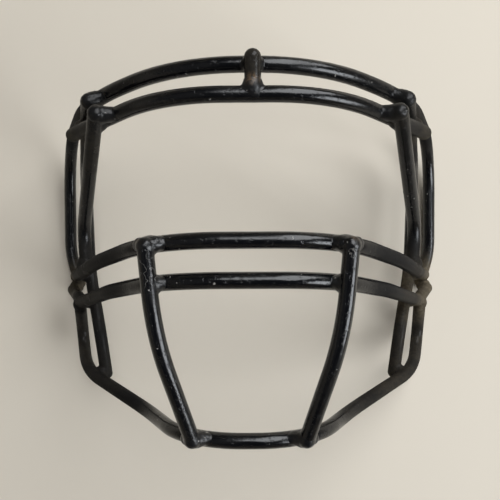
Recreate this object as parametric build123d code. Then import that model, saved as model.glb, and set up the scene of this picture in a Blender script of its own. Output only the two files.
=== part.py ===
"""Football helmet facemask: a cage of coated round steel bars, bent, lapped and tack welded.

It lies on its back. +Z is the way the mask faces, +Y points to the crown and +X to the right of
someone who looks at its front. The cage is the same on both sides of the middle plane, X = 0.
"""

import os
from copy import copy
from math import cos, radians, tan

from build123d import *

# Bar stock: quarter-inch steel rod with a dipped coat
steel_diameter = 6.35
coat_thickness = 0.4
bar_diameter = steel_diameter + 2 * coat_thickness
bar_radius = bar_diameter / 2
end_round_share = 0.98

# Joints: the coats all but touch, and a weld bead fills what is left between them
weld_gap = 0.1
lap_spacing = bar_diameter + weld_gap
bead_radius = 4.4
foot_bead_radius = 5.0

# The cage, between centre lines: the sides' half width and its depth
half_width = 114.5
cage_depth = 138.0

# Levels, with the upper mouth bar's at zero: the brow above it, the chin bar below it, and how far the
# lower brow bar and the lower mouth bar lie under the upper ones
brow_height = 76.0
chin_drop = 89.0
brow_spacing = 14.0
mouth_spacing = 16.5

# Short overhangs past the bars that carry them, how far right the post sits, the nose bars' spread
post_overhang = 4.1
post_offset = 2.2
nose_overhang = 1.0
nose_head_spread = 86.6
nose_foot_spread = 49.3

# Bend radii
brow_radius = 88.0
temple_radius = 105.0
hoop_corner_radius = 37.0
hoop_end_radius = 55.0
mouth_radius = 120.0
cheek_radius = 60.0
elbow_radius = 10.0
chin_radius = 46.0
jaw_radius = 60.0
jaw_end_radius = 23.0
upright_radius = 54.0
strut_radius = 24.0
strut_foot_radius = 60.0
nose_radius = 260.0

# The largest share of a run that one bend may take, and how the bars are pressed together
run_share = 0.45
press_rounds = 6
press_steps = 30
close_enough_share = 1e-4

outward = Vector(1, 0, 0)
up = Vector(0, 1, 0)
forward = Vector(0, 0, 1)

# Bends of each bar's right half, from the middle or the top on, to the middle of its domed end. Each
# has three shares: how far across, of the half width; how high, of the brow's height, or of the chin
# bar's drop where it is below zero; and how far forward of the hoop's sides, of the cage's depth
brow_hoop_shares = {
    "brow": (0.271, 1, 0.913),
    "temple": (0.696, 0.922, 0.639),
    "corner": (0.994, 0.852, 0.030),
    "side": (1, -0.049, 0),
    "end": (0.950, -0.258, 0),
}
lower_brow_shares = {
    "brow": (0.323, 1, 0.944),
    "corner": (0.700, 0.921, 0.660),
    "end": (0.785, 0.925, 0.555),
}
front_upright_shares = {
    "head": (0.592, 0.968, 0.806),
    "knee": (0.788, 0.113, 0.412),
    "foot": (0.777, -0.078, 0.412),
}
rear_strut_shares = {
    "head": (0.663, 0.888, 0.715),
    "temple": (0.875, 0.538, 0.115),
    "cheek": (0.852, -0.191, 0.123),
    "jaw": (0.765, -0.525, 0.252),
    "foot": (0.758, -0.854, 0.197),
}
upper_mouth_shares = {
    "mouth": (0.343, 0, 1),
    "cheek": (0.658, -0.104, 0.641),
    "corner": (0.771, -0.159, 0.433),
    "end": (0.946, -0.206, 0.059),
}
lower_mouth_shares = {
    "mouth": (0.308, 0, 0.998),
    "cheek": (0.586, -0.076, 0.686),
    "elbow": (0.864, -0.185, 0.204),
    "end": (0.976, -0.126, 0.046),
}
chin_shares = {
    "chin": (0.247, -1, 0.842),
    "jaw": (0.472, -0.989, 0.479),
    "corner": (0.851, -0.835, 0.186),
    "side": (0.928, -0.642, 0.011),
    "end": (0.897, -0.431, 0.145),
}
nose_head_share = (0, 0, 1)
nose_bend_share = (0.332, -0.443, 0.964)
nose_foot_share = (0, -0.989, 0.842)
post_head_share = (0, 1, 0.970)
post_foot_share = (0, 1, 0.955)


def place(share, drop=0):
    """A bend's point from its shares, on a bar that lies this far under the one that they are for."""
    across, high, out = share
    level = high * (brow_height if high > 0 else chin_drop) - drop
    return Vector(across * half_width, level, bar_radius + out * cage_depth)


def places(shares, drop=0):
    """All bends of a bar, by name."""
    return {bend: place(share, drop) for bend, share in shares.items()}


def bent_path(points, radii):
    """Straight runs joined by tangent arcs, none of which takes more than its share of a run."""
    edges = []
    start = points[0]
    for before, corner, after, radius in zip(points, points[1:], points[2:], radii):
        back, on = before - corner, after - corner
        half_turn = radians(180 - back.get_angle(on)) / 2
        reach = min(radius * tan(half_turn), run_share * min(back.length, on.length))
        bend = reach / tan(half_turn)
        middle = (back.normalized() + on.normalized()).normalized() * (bend / cos(half_turn) - bend)
        first, last = corner + back.normalized() * reach, corner + on.normalized() * reach
        edges += [Line(start, first), ThreePointArc(first, corner + middle, last)]
        start = last
    return Wire(edges + [Line(start, points[-1])])


class Bar:
    """One bent bar: the bends of its right half, by name, and the radii that they are bent to."""

    def __init__(self, bends, radii, spans_face=False, is_middle=False):
        self.bends = bends
        self.radii = radii
        self.spans_face = spans_face
        self.is_middle = is_middle

    def points(self):
        right = list(self.bends.values())
        if not self.spans_face:
            return right
        return [Vector(-bend.X, bend.Y, bend.Z) for bend in reversed(right)] + right

    def path(self, dome=0):
        """The centre line, between the middles of the domed ends or longer by a dome's height."""
        points = self.points()
        points[0] += (points[0] - points[1]).normalized() * dome
        points[-1] += (points[-1] - points[-2]).normalized() * dome
        radii = self.radii[::-1] + self.radii if self.spans_face else self.radii
        return bent_path(points, radii)

    def solid(self):
        path = self.path(dome=bar_radius)
        rod = sweep(Plane(origin=path @ 0, z_dir=path % 0) * Circle(bar_radius), path=path)
        cut_ends = rod.faces().filter_by(GeomType.PLANE).edges()
        return fillet(cut_ends, bar_radius * end_round_share).solid()


def touch(bars, name, other):
    """Distance between two bars' centre lines, and the points, on the right side, where it is."""
    distance, here, there = bars[name].path().distance_to_with_closest_points(bars[other].path())
    return distance, *(Vector(abs(point.X), point.Y, point.Z) for point in (here, there))


def press(bars, name, bend, side, other):
    """Push one bend of a bar away from another bar, or back to it, until the two lie side by side."""
    for _ in range(press_steps):
        distance, here, there = touch(bars, name, other)
        apart = here - there
        lack = lap_spacing - distance if apart.dot(side) > 0 else -lap_spacing - distance
        if abs(lack) < close_enough_share * bar_diameter:
            break
        bars[name].bends[bend] += apart.normalized() * lack


def bent_bars():
    """All bars, roughly placed by their shares."""
    spanning = {
        "brow_hoop": Bar(
            places(brow_hoop_shares),
            [brow_radius, temple_radius, hoop_corner_radius, hoop_end_radius],
            spans_face=True,
        ),
        "lower_brow_bar": Bar(
            places(lower_brow_shares, brow_spacing),
            [brow_radius, cheek_radius],
            spans_face=True,
        ),
        "upper_mouth_bar": Bar(
            places(upper_mouth_shares),
            [mouth_radius, mouth_radius, elbow_radius],
            spans_face=True,
        ),
        "lower_mouth_bar": Bar(
            places(lower_mouth_shares, mouth_spacing),
            [mouth_radius, cheek_radius, elbow_radius],
            spans_face=True,
        ),
        "chin_bar": Bar(
            places(chin_shares),
            [chin_radius, jaw_radius, jaw_radius, jaw_end_radius],
            spans_face=True,
        ),
    }
    return spanning | {
        "front_upright": front_upright(),
        "rear_strut": Bar(places(rear_strut_shares), [strut_radius, cheek_radius, strut_foot_radius]),
        "nose_bar": nose_bar(),
        "brow_post": brow_post(),
    }


def front_upright():
    """From the lower brow bar, which carries its head, to the upper mouth bar, on which it stands."""
    bends = places(front_upright_shares)
    bends["head"] -= up * brow_spacing
    return Bar(bends, [upright_radius])


def nose_bar():
    """From above the upper mouth bar to the chin bar, in front of all three bars that it crosses."""
    head = place(nose_head_share) + outward * nose_head_spread / 2 + up * (nose_overhang - bar_radius)
    foot = place(nose_foot_share) + outward * nose_foot_spread / 2
    return Bar({"head": head, "bridge": place(nose_bend_share), "foot": foot}, [nose_radius])


def brow_post():
    """A short straight post, a little off the middle, from above the upper brow bar to the lower one."""
    head = place(post_head_share) + outward * post_offset + up * (post_overhang - bar_radius)
    foot = place(post_foot_share, brow_spacing) + outward * post_offset + up * lap_spacing
    return Bar({"head": head, "foot": foot}, [], is_middle=True)


# Each press: the bar that moves, which of its bends, to which side, and the bar that it lies on
presses = [
    ("rear_strut", "head", forward, "brow_hoop"),
    ("lower_brow_bar", "end", outward, "rear_strut"),
    ("front_upright", "head", forward, "lower_brow_bar"),
    ("brow_post", "head", forward, "brow_hoop"),
    ("brow_post", "foot", up, "lower_brow_bar"),
    ("upper_mouth_bar", "end", forward, "brow_hoop"),
    ("upper_mouth_bar", "corner", outward, "rear_strut"),
    ("lower_mouth_bar", "end", forward, "brow_hoop"),
    ("lower_mouth_bar", "elbow", outward, "rear_strut"),
    ("front_upright", "foot", up, "upper_mouth_bar"),
    ("chin_bar", "end", -forward, "lower_mouth_bar"),
    ("rear_strut", "foot", -forward, "chin_bar"),
    ("nose_bar", "head", forward, "upper_mouth_bar"),
    ("nose_bar", "bridge", forward, "lower_mouth_bar"),
    ("nose_bar", "foot", forward, "chin_bar"),
]

# Each weld: its node, the two bars that it joins and the bead's radius
welds = [
    ("post_crown_weld", "brow_post", "brow_hoop", bead_radius),
    ("post_foot_weld", "brow_post", "lower_brow_bar", foot_bead_radius),
    ("temple_welds", "rear_strut", "brow_hoop", bead_radius),
    ("brow_end_welds", "lower_brow_bar", "rear_strut", bead_radius),
    ("upright_head_welds", "front_upright", "lower_brow_bar", bead_radius),
    ("upright_foot_welds", "front_upright", "upper_mouth_bar", foot_bead_radius),
    ("cheek_welds", "upper_mouth_bar", "rear_strut", bead_radius),
    ("mouth_bar_end_welds", "upper_mouth_bar", "brow_hoop", bead_radius),
    ("lower_cheek_welds", "lower_mouth_bar", "rear_strut", bead_radius),
    ("elbow_welds", "lower_mouth_bar", "brow_hoop", bead_radius),
    ("jaw_welds", "lower_mouth_bar", "chin_bar", bead_radius),
    ("upper_nose_welds", "nose_bar", "upper_mouth_bar", bead_radius),
    ("lower_nose_welds", "nose_bar", "lower_mouth_bar", bead_radius),
    ("nose_foot_welds", "nose_bar", "chin_bar", bead_radius),
    ("strut_foot_welds", "chin_bar", "rear_strut", bead_radius),
]


def settle(bars):
    """Press every bar against those that it is welded to, over and over until all of them rest."""
    for _ in range(press_rounds):
        for name, bend, side, other in presses:
            press(bars, name, bend, side, other)
    for name, _, _, other in presses:
        print(f"{name} to {other}: {touch(bars, name, other)[0]:.3f} between centre lines")


def both_sides(solid):
    """A solid of the right side and its mirror image."""
    return [solid, solid.mirror(Plane.YZ)]


def bar_nodes(bars, solids):
    """The bars by node: a bar of one side is mirrored to the other."""
    nodes = {}
    for name, bar in bars.items():
        if bar.spans_face or bar.is_middle:
            nodes[name] = [solids[name]]
        else:
            right, left = both_sides(solids[name])
            nodes |= {"right_" + name: [right], "left_" + name: [left]}
    return nodes


def weld_nodes(bars, solids):
    """The weld beads by node: balls where two bars touch, less the bars and beads that they meet."""
    nodes, beads = {}, []
    for node, name, other, radius in welds:
        _, here, there = touch(bars, name, other)
        centre = (here + there) / 2
        ball = Plane(origin=centre, z_dir=here - there) * Sphere(radius)
        near = [solids[bar] for bar in bars if bars[bar].path().distance_to(centre) < radius + bar_radius]
        near += [bead for spot, size, bead in beads if (spot - centre).length < radius + size]
        bead = ShapeList(ball.cut(*near).solids()).sort_by(SortBy.VOLUME)[-1]
        beads.append((centre, radius, bead))
        nodes[node] = [bead] if bars[name].is_middle else both_sides(bead)
    return nodes


def stand(nodes):
    """All nodes, moved so that the middle of the whole cage's footprint is the origin."""
    box = Compound(children=[copy(solid) for solids in nodes.values() for solid in solids]).bounding_box()
    seat = Pos(-(box.min.X + box.max.X) / 2, -(box.min.Y + box.max.Y) / 2, -box.min.Z)
    return {name: [seat * solid for solid in solids] for name, solids in nodes.items()}


if __name__ == "__main__":
    os.makedirs("parts", exist_ok=True)
    cage = bent_bars()
    settle(cage)
    solids = {name: bar.solid() for name, bar in cage.items()}
    nodes = bar_nodes(cage, solids) | weld_nodes(cage, solids)
    for name, solids in stand(nodes).items():
        export_step(Compound(solids) if len(solids) > 1 else solids[0], f"parts/{name}.step")
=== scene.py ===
# %% [markdown]
# A football helmet facemask, lying on its back and seen from straight above. It is a cage of round
# steel bars under a black dipped coat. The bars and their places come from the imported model, so this
# lesson only gives them their finish, and builds the welds with their lumps and soft fillets.

# %% Load the frame
from math import cos, radians, sin
import bpy
from mathutils import Matrix, Vector


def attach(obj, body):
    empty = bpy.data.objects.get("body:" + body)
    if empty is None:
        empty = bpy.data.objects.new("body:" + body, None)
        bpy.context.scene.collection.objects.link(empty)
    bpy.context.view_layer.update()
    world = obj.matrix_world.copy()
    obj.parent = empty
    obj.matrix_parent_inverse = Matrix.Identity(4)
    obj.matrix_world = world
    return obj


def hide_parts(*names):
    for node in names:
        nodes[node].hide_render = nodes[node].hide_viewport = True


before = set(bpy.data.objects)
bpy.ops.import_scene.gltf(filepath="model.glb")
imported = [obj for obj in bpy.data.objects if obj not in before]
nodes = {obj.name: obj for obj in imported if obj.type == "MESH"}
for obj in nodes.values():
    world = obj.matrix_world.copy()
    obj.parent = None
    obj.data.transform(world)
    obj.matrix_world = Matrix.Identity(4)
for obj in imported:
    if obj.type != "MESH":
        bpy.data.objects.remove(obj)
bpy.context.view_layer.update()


# %% [markdown]
# Blender's operators work on whatever is selected, and the loaded model comes in selected. One could
# deselect by hand before every step, but it is easily forgotten, so each step calls a helper that
# clears the selection and chooses its own objects. Blender counts in metres; `mm` keeps sizes readable.

# %% Helpers for selecting
mm = 0.001


def choose(*chosen):
    """Select only these objects, and make the last one active."""
    choose_none()
    for piece in chosen:
        piece.select_set(True)
    bpy.context.view_layer.objects.active = chosen[-1]


def choose_none():
    bpy.ops.object.select_all(action="DESELECT")


def apply_modifiers(piece):
    """Apply all modifiers of a piece, from the top down."""
    choose(piece)
    for modifier in list(piece.modifiers):
        bpy.ops.object.modifier_apply(modifier=modifier.name)


print(f"one millimetre is {mm} of Blender's units")


# %% [markdown]
# The camera hangs over the mask and looks almost straight down, a little less than 40 cm above the
# floor. From so near, the nose bars look larger than the sides, and a camera placed by eye would miss
# that. So its place, turn and lens were worked out from the middle lines of the bars in the
# photograph. The shift only slides the picture by a few pixels.

# %% Camera
camera_data = bpy.data.cameras.new("camera")
camera_data.sensor_width = 36
camera_data.lens = 43.085
camera_data.shift_x = 0.00181
camera_data.shift_y = 0.01150
camera_data.clip_start, camera_data.clip_end = 0.01, 20
camera = bpy.data.objects.new("camera", camera_data)
bpy.context.scene.collection.objects.link(camera)
bpy.context.scene.camera = camera
right_way = Vector((0.999976, -0.005209, -0.004625))
up_way = Vector((0.005217, 0.999985, 0.001654))
back_way = right_way.cross(up_way)
camera_turn = Matrix((right_way, up_way, back_way)).transposed().to_4x4()
camera_place = Matrix.Translation((1.463 * mm, -0.532 * mm, 386.808 * mm))
camera.matrix_world = camera_place @ camera_turn
print(f"camera at {tuple(round(c, 4) for c in camera.location)}")


# %% [markdown]
# The coat is a black vinyl dip: dark, slightly blue and glossy where it is clean. Years of use left a
# grey-brown film of dust, fine scratches along the bars, and small pits. A picture could be wrapped
# round the bars for that, but it would stretch in the bends. Here all marks are worked out from noise
# and distances in Object coordinates, so they run evenly over bars and welds. A finish takes many
# small nodes, and these helpers add and join them in one line each.

# %% Helpers for materials
class Recipe:
    """A material's node tree, with short ways to add and join nodes."""

    def __init__(self, name):
        self.material = bpy.data.materials.new(name)
        self.material.use_nodes = True
        self.tree = self.material.node_tree
        self.shader = self.tree.nodes["Principled BSDF"]
        self.place = self.tree.nodes.new("ShaderNodeTexCoord").outputs["Object"]

    def add(self, kind, settings=None, **inputs):
        node = self.tree.nodes.new(kind)
        for key, value in (settings or {}).items():
            setattr(node, key, value)
        for key, value in inputs.items():
            self.join(value, node.inputs[key.replace("_", " ")])
        return node

    def join(self, value, socket):
        """Link an output to a socket, or write a plain value into it."""
        if isinstance(value, bpy.types.NodeSocket):
            self.tree.links.new(value, socket)
        else:
            socket.default_value = value

    def cloud(self, size, detail=4.0, roughness=0.55):
        """Soft noise whose patches are about this many millimetres large."""
        return self.add(
            "ShaderNodeTexNoise", Vector=self.place, Scale=1 / (size * mm), Detail=detail, Roughness=roughness
        ).outputs["Fac"]

    def between(self, value, low, high, start=0.0, end=1.0):
        """Stretch the part of a pattern between low and high to the range from start to end."""
        node = self.add("ShaderNodeMapRange", {"interpolation_type": "SMOOTHSTEP"}, Value=value)
        for key, number in zip(("From Min", "From Max", "To Min", "To Max"), (low, high, start, end)):
            node.inputs[key].default_value = number
        return node.outputs["Result"]

    def maths(self, kind, first, second=0.0):
        node = self.add("ShaderNodeMath", {"operation": kind})
        self.join(first, node.inputs[0])
        self.join(second, node.inputs[1])
        return node.outputs[0]

    def times(self, first, second):
        return self.maths("MULTIPLY", first, second)

    def larger(self, first, second):
        return self.maths("MAXIMUM", first, second)

    def blend(self, share, first, second):
        """Mix two colours."""
        node = self.add("ShaderNodeMix", {"data_type": "RGBA"})
        self.join(share, node.inputs["Factor"])
        self.join(first, node.inputs[6])
        self.join(second, node.inputs[7])
        return node.outputs[2]

    def near(self, spot, reach):
        """One at a spot, fading to nothing at its reach, both in millimetres."""
        node = self.add("ShaderNodeVectorMath", {"operation": "DISTANCE"})
        self.join(self.place, node.inputs[0])
        node.inputs[1].default_value = [number * mm for number in spot]
        return self.between(node.outputs["Value"], 0.35 * reach * mm, reach * mm, 1.0, 0.0)


print("recipes are ready")


# %% [markdown]
# Clean coat is almost black, and what one sees on it is the lamp. Where the mask has rubbed against
# things and gathered dust the coat is matt: on the ends of the mouth bars, the jaws, the temples and
# the short ends beside them. That could be painted by hand, but a list of soft round spots is easier
# to read and change. Each spot of the film has its place and reach in millimetres, how far it covers
# the gloss, and how brown its dust is.

# %% Where the film lies
film_spots = [
    # right ends of the mouth bars
    ((111, -21, 8), 31, 1.00, 1.00),
    ((101, -23, 26), 31, 0.98, 0.80),
    ((85, -21, 60), 34, 0.96, 0.15),
    ((94, -4, 42), 34, 0.98, 0.03),
    # left ends of the mouth bars
    ((-112, -21, 8), 24, 0.99, 0.62),
    ((-107, -10, 14), 18, 0.95, 0.45),
    ((-90, -16, 50), 44, 0.90, 0.07),
    # jaws and the sides of the chin bar
    ((103, -52, 13), 36, 0.85, 0.24),
    ((82, -73, 43), 34, 0.85, 0.22),
    ((56, -80, 72), 30, 0.75, 0.10),
    ((-103, -52, 13), 34, 0.82, 0.17),
    ((-84, -72, 41), 32, 0.80, 0.08),
    # short ends of the lower brow bar, and the hoop beside them
    ((90, 60, 80), 20, 0.95, 0.32),
    ((-89, 60, 80), 20, 0.95, 0.30),
    ((97, 66, 60), 38, 0.94, 0.05),
    ((-97, 66, 60), 36, 0.90, 0.05),
    ((80, 68, 94), 18, 0.70, 0.10),
    ((-80, 68, 94), 18, 0.70, 0.10),
    # uprights, the post and the rear struts
    ((-74, 52, 101), 22, 0.60, 0.20),
    ((70, 63, 115), 8, 0.50, 0.18),
    ((2, 81, 139), 10, 0.62, 0.25),
    ((90, -50, 32), 30, 0.55, 0.14),
]
print(f"{len(film_spots)} spots of film")


# %% [markdown]
# Besides these spots, the steep outer stretches of all bars are matt. They are seen almost edge on,
# where gloss would mirror the pale floor and turn them grey. The middles of the uprights and the
# temples keep more of their gloss, as the photograph shows.

# %% Film on the outer stretches
def outer_film(r):
    """How far the film covers the bars outside the nose, by their place on the cage."""
    split = r.add("ShaderNodeSeparateXYZ", Vector=r.place).outputs
    outer = r.between(r.maths("ABSOLUTE", split["X"]), 43 * mm, 62 * mm, 0.0, 0.95)
    raised = r.between(split["Z"], 10 * mm, 30 * mm)
    beyond_mouth = r.between(split["Y"], 4 * mm, 14 * mm)
    before_brow = r.between(split["Y"], 50 * mm, 62 * mm, 1.0, 0.0)
    upright = r.times(r.times(beyond_mouth, before_brow), 0.75)
    at_brow = r.between(split["Y"], 50 * mm, 62 * mm)
    temple = r.times(r.between(split["Z"], 90 * mm, 106 * mm, 0.0, 0.45), at_brow)
    glossy = r.maths("ADD", upright, temple)
    return r.times(r.times(outer, raised), r.maths("SUBTRACT", 1.0, glossy))


def film_shares(r, patches, fine):
    """How far the matt film covers the gloss, and how brown its dust is."""
    cover = r.larger(outer_film(r), r.between(patches, 0.50, 0.74, 0.0, 0.25))
    brown = 0.0
    for spot, reach, cover_share, brown_share in film_spots:
        close = r.near(spot, reach)
        cover = r.larger(cover, r.times(close, cover_share))
        brown = r.larger(brown, r.times(close, brown_share))
    speckle = r.between(r.cloud(1.1, 3.0, 0.6), 0.36, 0.60, 0.90, 1.0)
    grain = r.between(fine, 0.32, 0.66, 0.55, 1.0)
    smears = r.between(r.cloud(6), 0.30, 0.62, 0.60, 1.0)
    return r.times(cover, speckle), r.times(r.times(brown, grain), smears)


print("the film covers |x| beyond 43 to 62 mm")


# %% [markdown]
# Where the mask was knocked, the coat is scratched and nicked down to the bright steel, most of all on
# the head of the left nose bar. A thin scratch is the line where a soft noise crosses its middle
# value: that gives long wandering lines without drawing any. Nicks are the rare peaks of a finer
# noise. At the post's foot and at the heads of the nose bars, small tan spots are a little rust with
# a painted warm glint on it.

# %% Scratches, nicks, and rust with painted glints
scratched_spots = [((-42.5, -6, 143), 11), ((42.5, 2, 143), 4)]
# Tan spots at the post's foot and the nose heads: a little rust with a painted warm glint.
rust_and_glint_spots = [
    ((2.1, 73.5, 137.2), 4.0, 0.75),
    ((43.5, 6.2, 141.5), 2.6, 0.70),
    ((-45.5, 6.2, 140.5), 2.6, 0.60),
]


def bare_marks(r, patches, nick_share):
    """Where bare steel shows: scratches near the scratched spots, and nicks all over."""
    lines = r.maths("ABSOLUTE", r.maths("SUBTRACT", r.cloud(4.2, 2.0, 0.4), 0.5))
    scratches = r.between(lines, 0.004, 0.016, 1.0, 0.0)
    scratched = r.between(patches, 0.60, 0.70, 0.0, 0.18)
    for spot, reach in scratched_spots:
        scratched = r.larger(scratched, r.near(spot, reach))
    scratches = r.times(r.times(scratches, scratched), 0.25)
    nicks = r.between(r.cloud(2.1, 3.0, 0.5), nick_share, nick_share + 0.02, 0.0, 0.6)
    return r.larger(scratches, nicks)


def rust_and_glint_shares(r, fine):
    """How strongly each tan spot shows, a little rust with a painted warm glint, with a ragged edge."""
    return [
        r.times(r.near(spot, reach), r.between(fine, 0.42, 0.62, 0.15, share))
        for spot, reach, share in rust_and_glint_spots
    ]


print(f"{len(scratched_spots)} scratched and {len(rust_and_glint_spots)} rusty spots")


# %% [markdown]
# A dip coat is never quite even. It runs a little thick and thin along a bar, lies over the lumps of a
# weld, and has small pits where air escaped. On bars this thin a bump in the shader is enough for
# that: it tilts the light without any more faces.

# %% Unevenness of the coat
bump_strength, bump_depth = 0.6, 0.4 * mm


def uneven(r, fine, lump_height):
    """The normal of an uneven, pitted coat."""
    waves = r.times(r.cloud(4.5, 3.0), lump_height)
    pits = r.between(r.cloud(1.9, 2.0), 0.30, 0.38, -0.45, 0.0)
    height = r.maths("ADD", r.maths("ADD", waves, r.times(fine, 0.20)), pits)
    bump = r.add("ShaderNodeBump", Height=height, Strength=bump_strength, Distance=bump_depth)
    return bump.outputs["Normal"]


print(f"bumps up to {bump_depth / mm:.1f} mm deep")


# %% [markdown]
# One recipe serves the bars and the welds, with more lumps and a duller gloss on the welds. A single
# shader could be made rougher under the dust, but even a rough one mirrors the floor when seen edge
# on. So the material mixes two shaders by the film's share: a glossy coat, and a matt film that hardly
# mirrors at all.

# %% Coat recipe
black_coat = (0.0016, 0.0018, 0.0026, 1)
worn_coat = (0.008, 0.0078, 0.0076, 1)
dark_film = (0.0095, 0.0093, 0.0095, 1)
dust_film = (0.118, 0.097, 0.066, 1)
bare_steel = (0.42, 0.40, 0.37, 1)
# The tan is a little rust with a painted warm glint, for the spots at the post's foot and nose heads.
rust_and_glint_tint = (0.13, 0.085, 0.050, 1)
coat_gloss, film_gloss = 0.5, 0.05
film_roughness = 0.85


def coat(name, lump_height, nick_share, roughness):
    r = Recipe(name)
    patches = r.cloud(20, 5.0)
    fine = r.cloud(1.6, 5.0, 0.6)
    cover, brown = film_shares(r, patches, fine)
    worn = r.between(r.cloud(6.5, 6.0, 0.7), 0.50, 0.68, 0.0, 0.6)
    colour = r.blend(worn, black_coat, worn_coat)
    film = r.blend(brown, dark_film, dust_film)
    # Tan spots, a little rust with a painted warm glint, go over both the coat and the film.
    for rust_and_glint_share in rust_and_glint_shares(r, fine):
        colour = r.blend(rust_and_glint_share, colour, rust_and_glint_tint)
        film = r.blend(rust_and_glint_share, film, rust_and_glint_tint)
    colour = r.blend(bare_marks(r, patches, nick_share), colour, bare_steel)
    normal = uneven(r, fine, lump_height)

    r.join(colour, r.shader.inputs["Base Color"])
    r.join(r.between(patches, 0.35, 0.7, roughness, roughness + 0.12), r.shader.inputs["Roughness"])
    r.join(normal, r.shader.inputs["Normal"])
    r.shader.inputs["Specular IOR Level"].default_value = coat_gloss
    matt = r.add("ShaderNodeBsdfPrincipled", Base_Color=film, Roughness=film_roughness, Normal=normal)
    matt.inputs["Specular IOR Level"].default_value = film_gloss

    mixed = r.add("ShaderNodeMixShader")
    r.join(cover, mixed.inputs[0])
    r.join(r.shader.outputs[0], mixed.inputs[1])
    r.join(matt.outputs[0], mixed.inputs[2])
    r.join(mixed.outputs[0], r.tree.nodes["Material Output"].inputs["Surface"])
    return r.material


bar_coat = coat("bar_coat", lump_height=0.6, nick_share=0.715, roughness=0.16)
weld_coat = coat("weld_coat", lump_height=1.0, nick_share=0.71, roughness=0.27)
for name, node in nodes.items():
    node.data.materials.clear()
    node.data.materials.append(weld_coat if "weld" in name else bar_coat)
print(f"coated {len(nodes)} nodes")


# %% [markdown]
# A tack weld on the real cage is a small puddle of steel in the crevice where two bars touch. The dip
# coat runs into it too, so it ends in soft hollow fillets rather than as a ball. A bevel can't round
# such a crevice, because the two bars share no edge. So each weld starts as what is there: the ends of
# the two bars, cut out with a ball round the joint, and a puddle between them. For the cut, the bars
# are copied and closed, and each joint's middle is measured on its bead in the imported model.

# %% Where the joints are
def merged_copy(name):
    """A copy of a node's mesh, closed by merging its loose corners."""
    piece = bpy.data.objects.new(name + "_copy", nodes[name].data.copy())
    bpy.context.scene.collection.objects.link(piece)
    choose(piece)
    bpy.ops.object.mode_set(mode="EDIT")
    bpy.ops.mesh.select_all(action="SELECT")
    bpy.ops.mesh.remove_doubles(threshold=0.001 * mm)
    bpy.ops.object.mode_set(mode="OBJECT")
    return piece


def joint(name):
    """The middle of a weld's bead; of a pair, the right one's."""
    spots = [vertex.co for vertex in nodes[name].data.vertices if "welds" not in name or vertex.co.x > 0]
    low = Vector(min(spot[axis] for spot in spots) for axis in range(3))
    high = Vector(max(spot[axis] for spot in spots) for axis in range(3))
    return (low + high) / 2


joined_bars = {
    "post_crown_weld": ("brow_post", "brow_hoop"),
    "post_foot_weld": ("brow_post", "lower_brow_bar"),
    "temple_welds": ("right_rear_strut", "brow_hoop"),
    "brow_end_welds": ("lower_brow_bar", "right_rear_strut"),
    "upright_head_welds": ("right_front_upright", "lower_brow_bar"),
    "upright_foot_welds": ("right_front_upright", "upper_mouth_bar"),
    "cheek_welds": ("upper_mouth_bar", "right_rear_strut"),
    "mouth_bar_end_welds": ("upper_mouth_bar", "brow_hoop"),
    "lower_cheek_welds": ("lower_mouth_bar", "right_rear_strut"),
    "elbow_welds": ("lower_mouth_bar", "brow_hoop"),
    "jaw_welds": ("lower_mouth_bar", "chin_bar"),
    "upper_nose_welds": ("right_nose_bar", "upper_mouth_bar"),
    "lower_nose_welds": ("right_nose_bar", "lower_mouth_bar"),
    "nose_foot_welds": ("right_nose_bar", "chin_bar"),
    "strut_foot_welds": ("chin_bar", "right_rear_strut"),
}
bar_names = sorted({name for pair in joined_bars.values() for name in pair})
bar_copies = {name: merged_copy(name) for name in bar_names}
print(f"{len(joined_bars)} welds join {len(bar_copies)} bars")


# %% [markdown]
# A voxel remesh then makes one skin of the stretches and puddles, and smoothing draws the skin hollow
# across the crevices, as wet coat would. Where it runs along a bar, smoothing sinks it just under that
# bar's own surface, so the fillets fade out there. Last, a soft noise pushes the skin in and out a
# little, for the lumps of a weld made by hand.

# %% Build one weld
skin_size = 0.33 * mm
smoothing_rounds = 60
lump_size, lump_depth, lump_level = 2.6 * mm, 0.45 * mm, 0.62
lump_texture = bpy.data.textures.new("lumps", "CLOUDS")
lump_texture.noise_scale = lump_size


def ball(name, spot, radius, detail):
    choose_none()
    bpy.ops.mesh.primitive_ico_sphere_add(subdivisions=detail, radius=radius, location=spot)
    bpy.ops.object.transform_apply(location=True, rotation=False, scale=False)
    bpy.context.object.name = name
    return bpy.context.object


def bar_stretch(middle, reach, bar):
    """The stretch of a bar that lies inside a ball round the joint."""
    stretch = ball("stretch", middle, reach, 4)
    cut = stretch.modifiers.new("cut", "BOOLEAN")
    cut.operation, cut.solver, cut.object = "INTERSECT", "EXACT", bar_copies[bar]
    apply_modifiers(stretch)
    return stretch


def skinned(piece):
    """Cover a heap of overlapping parts with one smooth, slightly lumpy skin."""
    skin = piece.modifiers.new("skin", "REMESH")
    skin.mode, skin.voxel_size = "VOXEL", skin_size
    soften = piece.modifiers.new("soften", "SMOOTH")
    soften.factor, soften.iterations = 0.5, smoothing_rounds
    lumps = piece.modifiers.new("lumps", "DISPLACE")
    lumps.texture, lumps.texture_coords = lump_texture, "GLOBAL"
    lumps.strength, lumps.mid_level = lump_depth, lump_level
    apply_modifiers(piece)
    choose(piece)
    bpy.ops.object.shade_smooth()
    return piece


def weld(name, shift, reach, puddles):
    """One weld, of the stretches of its two bars within reach and of its puddles."""
    spot = joint(name)
    middle = spot + Vector(shift) * mm
    parts = [bar_stretch(middle, reach * mm, bar) for bar in joined_bars[name]]
    for place, radius in puddles:
        parts.append(ball("puddle", spot + Vector(place) * mm, radius * mm, 3))
    choose(*parts)
    bpy.ops.object.join()
    bpy.context.object.name = name + "_skin"
    return skinned(bpy.context.object)


print(f"skins of {skin_size / mm:.2f} mm voxels")


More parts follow.
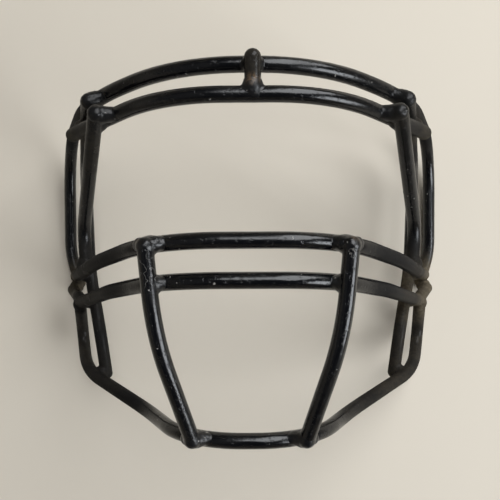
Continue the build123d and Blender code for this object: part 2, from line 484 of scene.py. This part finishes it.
# %% [markdown]
# Most welds are one puddle in the crevice. Where a bar's rounded head lies on another bar, the real
# weld buries it. A single larger puddle would stand out as a ball there, so the head gets a row of
# puddles, and the outline of the lower bar flows over the head in one soft hump. Each shape gives how
# far the cutting ball is shifted, its reach, and the puddles' places and radii, all in millimetres
# from the bead's middle.

# %% Shapes of the welds
one_puddle = ((0, 0, 0), 8.5, [((0, 0, 0), 4.5)])
weld_shapes = {name: one_puddle for name in joined_bars}
weld_shapes["post_foot_weld"] = ((0, 0, 0), 8.5, [((0, 0, 0), 4.6), ((0, -2.2, 0), 4.0)])
weld_shapes["upright_foot_welds"] = ((0, 0, 0), 8.5, [((0, 0, 0), 4.7)])
weld_shapes["lower_nose_welds"] = ((0, 0, 0), 8.5, [((0, 0, 0), 4.4), ((-3.2, 0.4, 0.8), 2.4)])
weld_shapes["upper_nose_welds"] = ((0.5, 0, 0.5), 9.0, [
    ((0, 0, 0), 4.4), ((1.5, -0.4, 2.5), 4.25),
    ((-2.2, 0.6, 0.9), 3.7), ((-4.2, 0.8, 0.4), 3.2), ((4.2, 0.2, -1.2), 3.4),
])
weld_shapes["nose_foot_welds"] = ((0.5, 0, 0.5), 9.0, [
    ((0, 0, 0), 4.4), ((1.4, 0.5, 2.7), 4.2),
    ((-2.2, 0.3, 0.6), 3.6), ((-4.2, 0.4, 0), 3.1), ((4.0, 0, -1.3), 3.4),
])
weld_shapes["upright_head_welds"] = ((-2.0, 2.0, 4.0), 10.0, [
    ((0, 0, 0), 4.3), ((-0.3, 2.4, 7.2), 4.3), ((-2.0, 2.4, 5.8), 4.3),
    ((-4.0, 2.4, 5.6), 4.0), ((-6.2, 2.6, 5.4), 3.6), ((0.6, 2.6, 2.6), 3.8),
])
weld_shapes["temple_welds"] = ((-2.5, 1.2, 6.5), 11.0, [
    ((0, 0, 0), 4.3), ((-1.5, 0, 10.3), 4.3), ((-3.2, 1.0, 9.2), 4.3),
    ((-5.0, 1.9, 8.6), 4.0), ((-7.0, 2.6, 8.4), 3.6), ((-0.6, 1.6, 6.0), 3.8),
])
print(f"{sum(len(shape[2]) for shape in weld_shapes.values())} puddles on one side and the middle")


# %% [markdown]
# The cage is the same left and right but for the post, so each weld of a pair is made once, on the
# right. Its copy is stretched by -1 across the middle, which turns it inside out, so its faces are
# turned back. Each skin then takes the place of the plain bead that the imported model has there.

# %% Place the welds
def with_mirror(right):
    """Join a right weld and its mirror image to one piece."""
    choose(right)
    bpy.ops.object.duplicate()
    left = bpy.context.object
    bpy.ops.object.mode_set(mode="EDIT")
    bpy.ops.mesh.select_all(action="SELECT")
    bpy.ops.transform.resize(value=(-1, 1, 1), center_override=(0, 0, 0))
    bpy.ops.mesh.normals_make_consistent(inside=False)
    bpy.ops.object.mode_set(mode="OBJECT")
    choose(left, right)
    bpy.ops.object.join()


for name in joined_bars:
    right = weld(name, *weld_shapes[name])
    if name.endswith("welds"):
        with_mirror(right)
    right.data.materials.clear()
    right.data.materials.append(weld_coat)
    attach(right, "root")
    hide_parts(name)
    print(f"{right.name}: {len(right.data.polygons)} faces")
for piece in bar_copies.values():
    bpy.data.objects.remove(piece)


# %% [markdown]
# The mask lies on a plain pale floor, which shows its soft shadow. A plane is enough for it, and two
# warm tones that change slowly keep it from looking like a blank sheet.

# %% Floor
choose_none()
bpy.ops.mesh.primitive_plane_add(size=6, location=(0, 0, 0))
floor = bpy.context.object
floor.name = "floor"
floor_recipe = Recipe("pale_floor")
floor_tones = (0.58, 0.525, 0.44, 1), (0.65, 0.595, 0.51, 1)
floor_patch = 500
floor_recipe.join(
    floor_recipe.blend(floor_recipe.cloud(floor_patch), *floor_tones),
    floor_recipe.shader.inputs["Base Color"],
)
floor_recipe.shader.inputs["Roughness"].default_value = 0.8
floor.data.materials.append(floor_recipe.material)
print(f"floor {floor.dimensions.x:.0f} m wide")


# %% [markdown]
# A studio's backdrop curves up from the floor, so a low view has no dark edge behind the mask. This
# one runs all round, so that it serves every view: a ring of edges is extruded step by step along a
# quarter circle and then straight up.

# %% Backdrop
ring_radius, curve_radius, wall_height, curve_steps = 2.2, 0.6, 1.4, 10
choose_none()
bpy.ops.mesh.primitive_circle_add(vertices=96, radius=ring_radius, fill_type="NOTHING", location=(0, 0, 0))
backdrop = bpy.context.object
backdrop.name = "backdrop"
bpy.ops.object.mode_set(mode="EDIT")
bpy.ops.mesh.select_all(action="SELECT")
width, height = ring_radius, 0.0
for step in range(1, curve_steps + 1):
    angle = radians(90 / curve_steps * step)
    wider, higher = ring_radius + curve_radius * sin(angle), curve_radius * (1 - cos(angle))
    bpy.ops.mesh.extrude_region_move(TRANSFORM_OT_translate={"value": (0, 0, higher - height)})
    bpy.ops.transform.resize(value=(wider / width, wider / width, 1), center_override=(0, 0, 0))
    width, height = wider, higher
bpy.ops.mesh.extrude_region_move(TRANSFORM_OT_translate={"value": (0, 0, wall_height)})
bpy.ops.object.mode_set(mode="OBJECT")
bpy.ops.object.shade_smooth()
backdrop.data.materials.append(floor_recipe.material)
print(f"backdrop {width * 2:.1f} m wide")


# %% [markdown]
# The streaks in the photograph give the light away. On the brow and mouth bars they lie above the
# middle, so a long soft window stands beyond the brow, and on the nose bars they lie right of the
# middle, so a second soft lamp stands low on the right. An even light all round would be simpler, but
# it would grey the coat all over. Little light comes from the left and from below, which leaves the
# other halves of the bars black.

# %% Lamps and world
mask_middle = Vector((0, 0, 0.05))


def lamp(name, spot, width, length, power, colour):
    """A soft oblong lamp that faces the mask, with its length towards the zenith."""
    data = bpy.data.lights.new(name, "AREA")
    data.shape, data.size, data.size_y = "RECTANGLE", width, length
    data.energy, data.color = power, colour
    light = bpy.data.objects.new(name, data)
    light.location = spot
    light.rotation_euler = (mask_middle - Vector(spot)).to_track_quat("-Z", "Y").to_euler()
    bpy.context.scene.collection.objects.link(light)
    print(f"{name} lamp, {power} W")


lamp("window", (0.506, 0.811, 1.22), 1.0, 1.7, 27, (0.96, 0.98, 1.0))
lamp("side", (1.20, -0.485, 0.94), 0.85, 0.85, 17, (0.92, 0.96, 1.0))
lamp("fill", (-1.3, -0.2, 1.3), 2.0, 2.0, 1.5, (1.0, 0.98, 0.95))
world = bpy.data.worlds.new("studio")
bpy.context.scene.world = world
world.use_nodes = True
world.node_tree.nodes["Background"].inputs["Color"].default_value = (0.80, 0.82, 0.85, 1)
world.node_tree.nodes["Background"].inputs["Strength"].default_value = 0.05
bpy.context.scene.view_settings.view_transform = "Standard"
